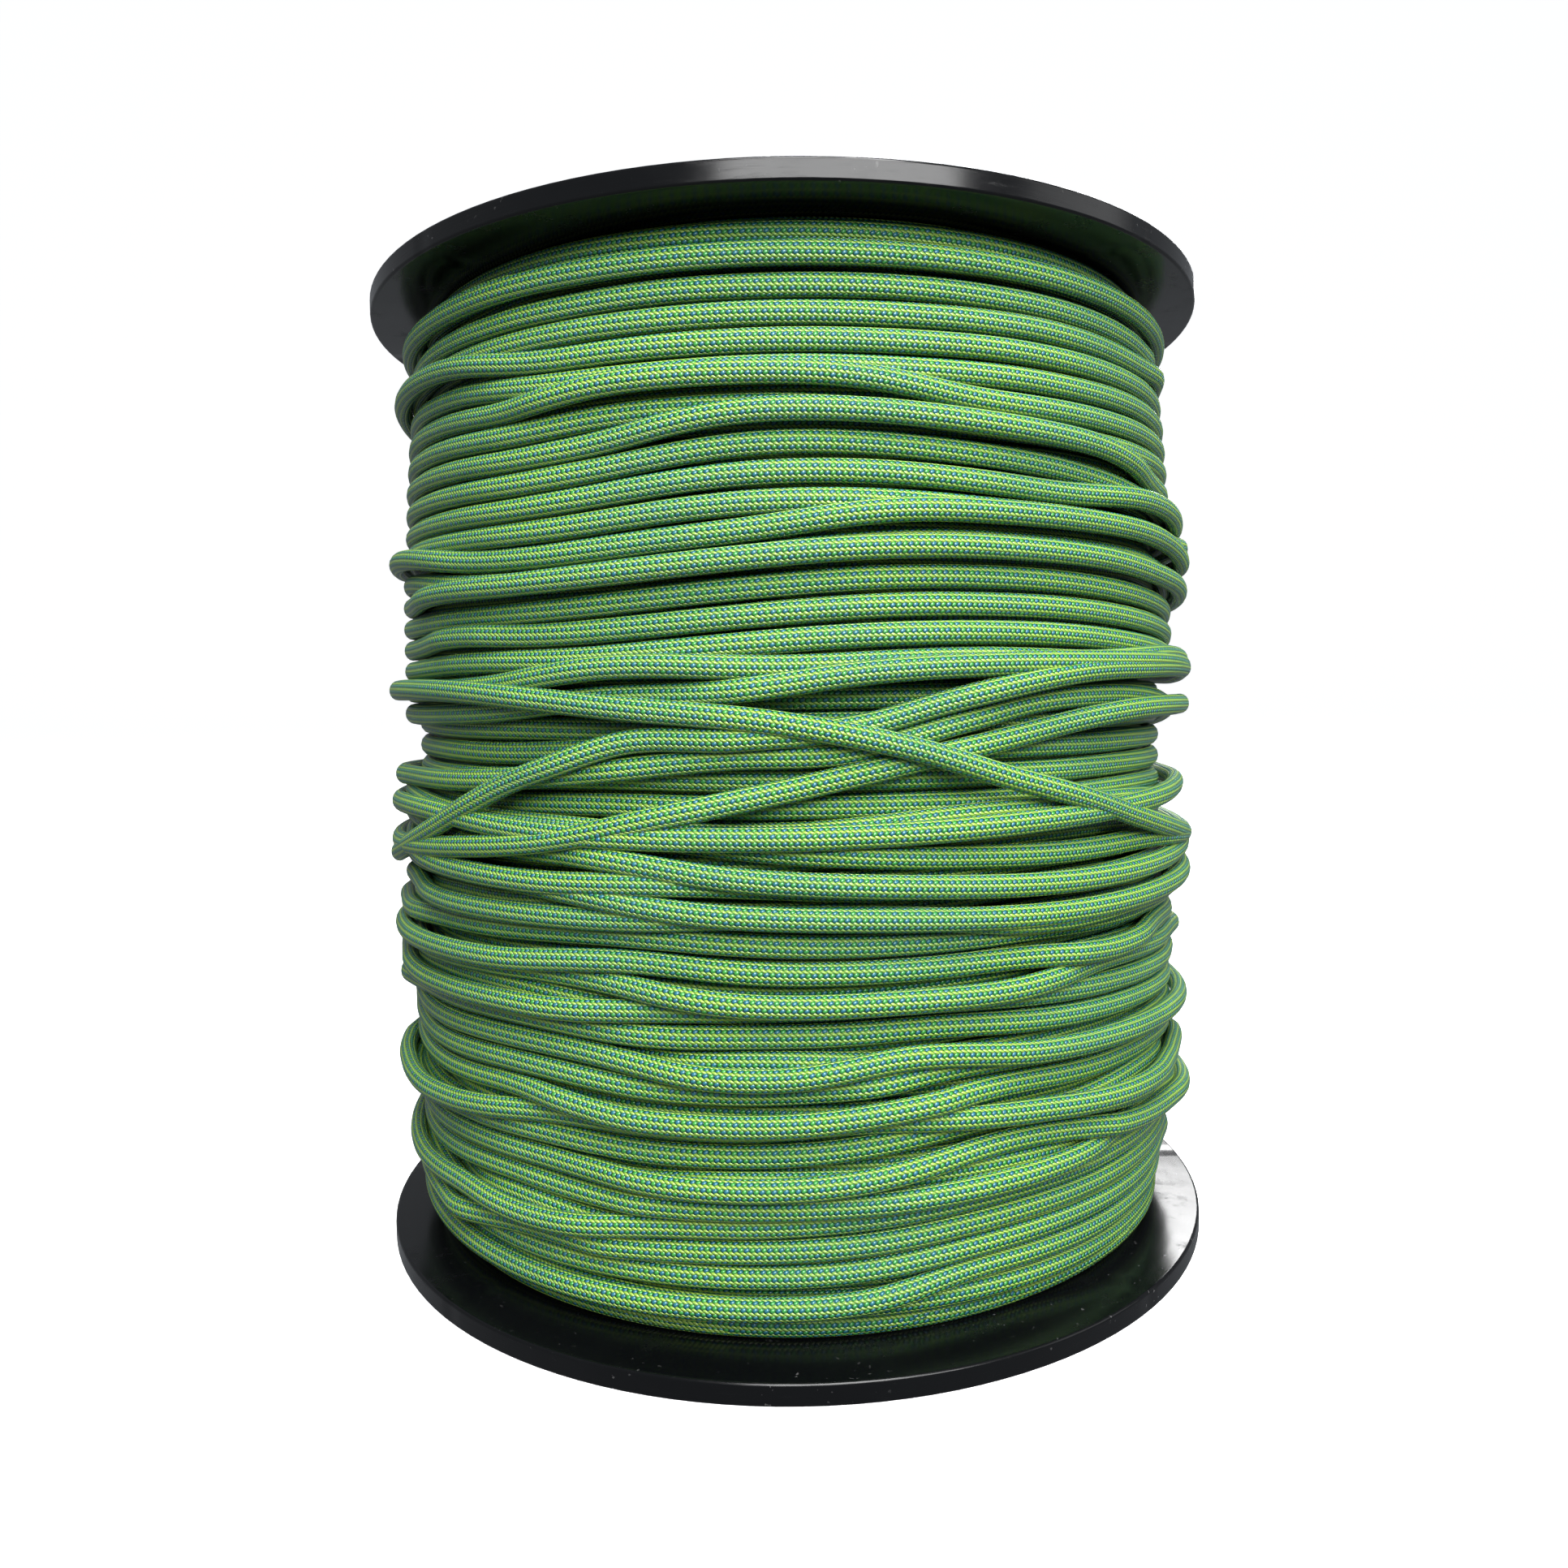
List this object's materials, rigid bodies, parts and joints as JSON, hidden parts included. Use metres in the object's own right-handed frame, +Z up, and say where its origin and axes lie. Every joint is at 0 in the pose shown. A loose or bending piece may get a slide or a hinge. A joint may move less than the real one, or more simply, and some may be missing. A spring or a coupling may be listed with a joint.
{
  "type": "cord spool",
  "caption": "Standing flanged spool, wound full of round braided cord, with an arbor bore through its hubs.",
  "frame": {"origin": "centre of the lower flange's outer face, on the surface that the spool stands on", "axes": "+Z up along the arbor bore, which is the spool's axis; -Y towards the side that shows the crossing turns; the cord's outer end is at +Y"},
  "size_m": [0.172, 0.172, 0.188],
  "materials": {
    "flange_plastic": "glossy black moulded plastic, lightly scuffed",
    "barrel_plastic": "matt black extruded tube",
    "sleeve_plastic": "natural nylon",
    "zinc_steel": "zinc plated",
    "cord_braid": "woven braid of lime, green and blue yarns, soft sheen"
  },
  "bodies": {
    "root": {"lower_flange": "flange_plastic", "upper_flange": "flange_plastic", "barrel": "barrel_plastic", "arbor_sleeve": "sleeve_plastic", "tie_bolts": "zinc_steel", "head_washers": "zinc_steel", "nut_washers": "zinc_steel", "lock_nuts": "zinc_steel", "cord_winding": "cord_braid", "cord_start": "cord_braid", "cord_start_knot": "cord_braid", "cord_outer_end": "cord_braid"}
  },
  "joints": []
}
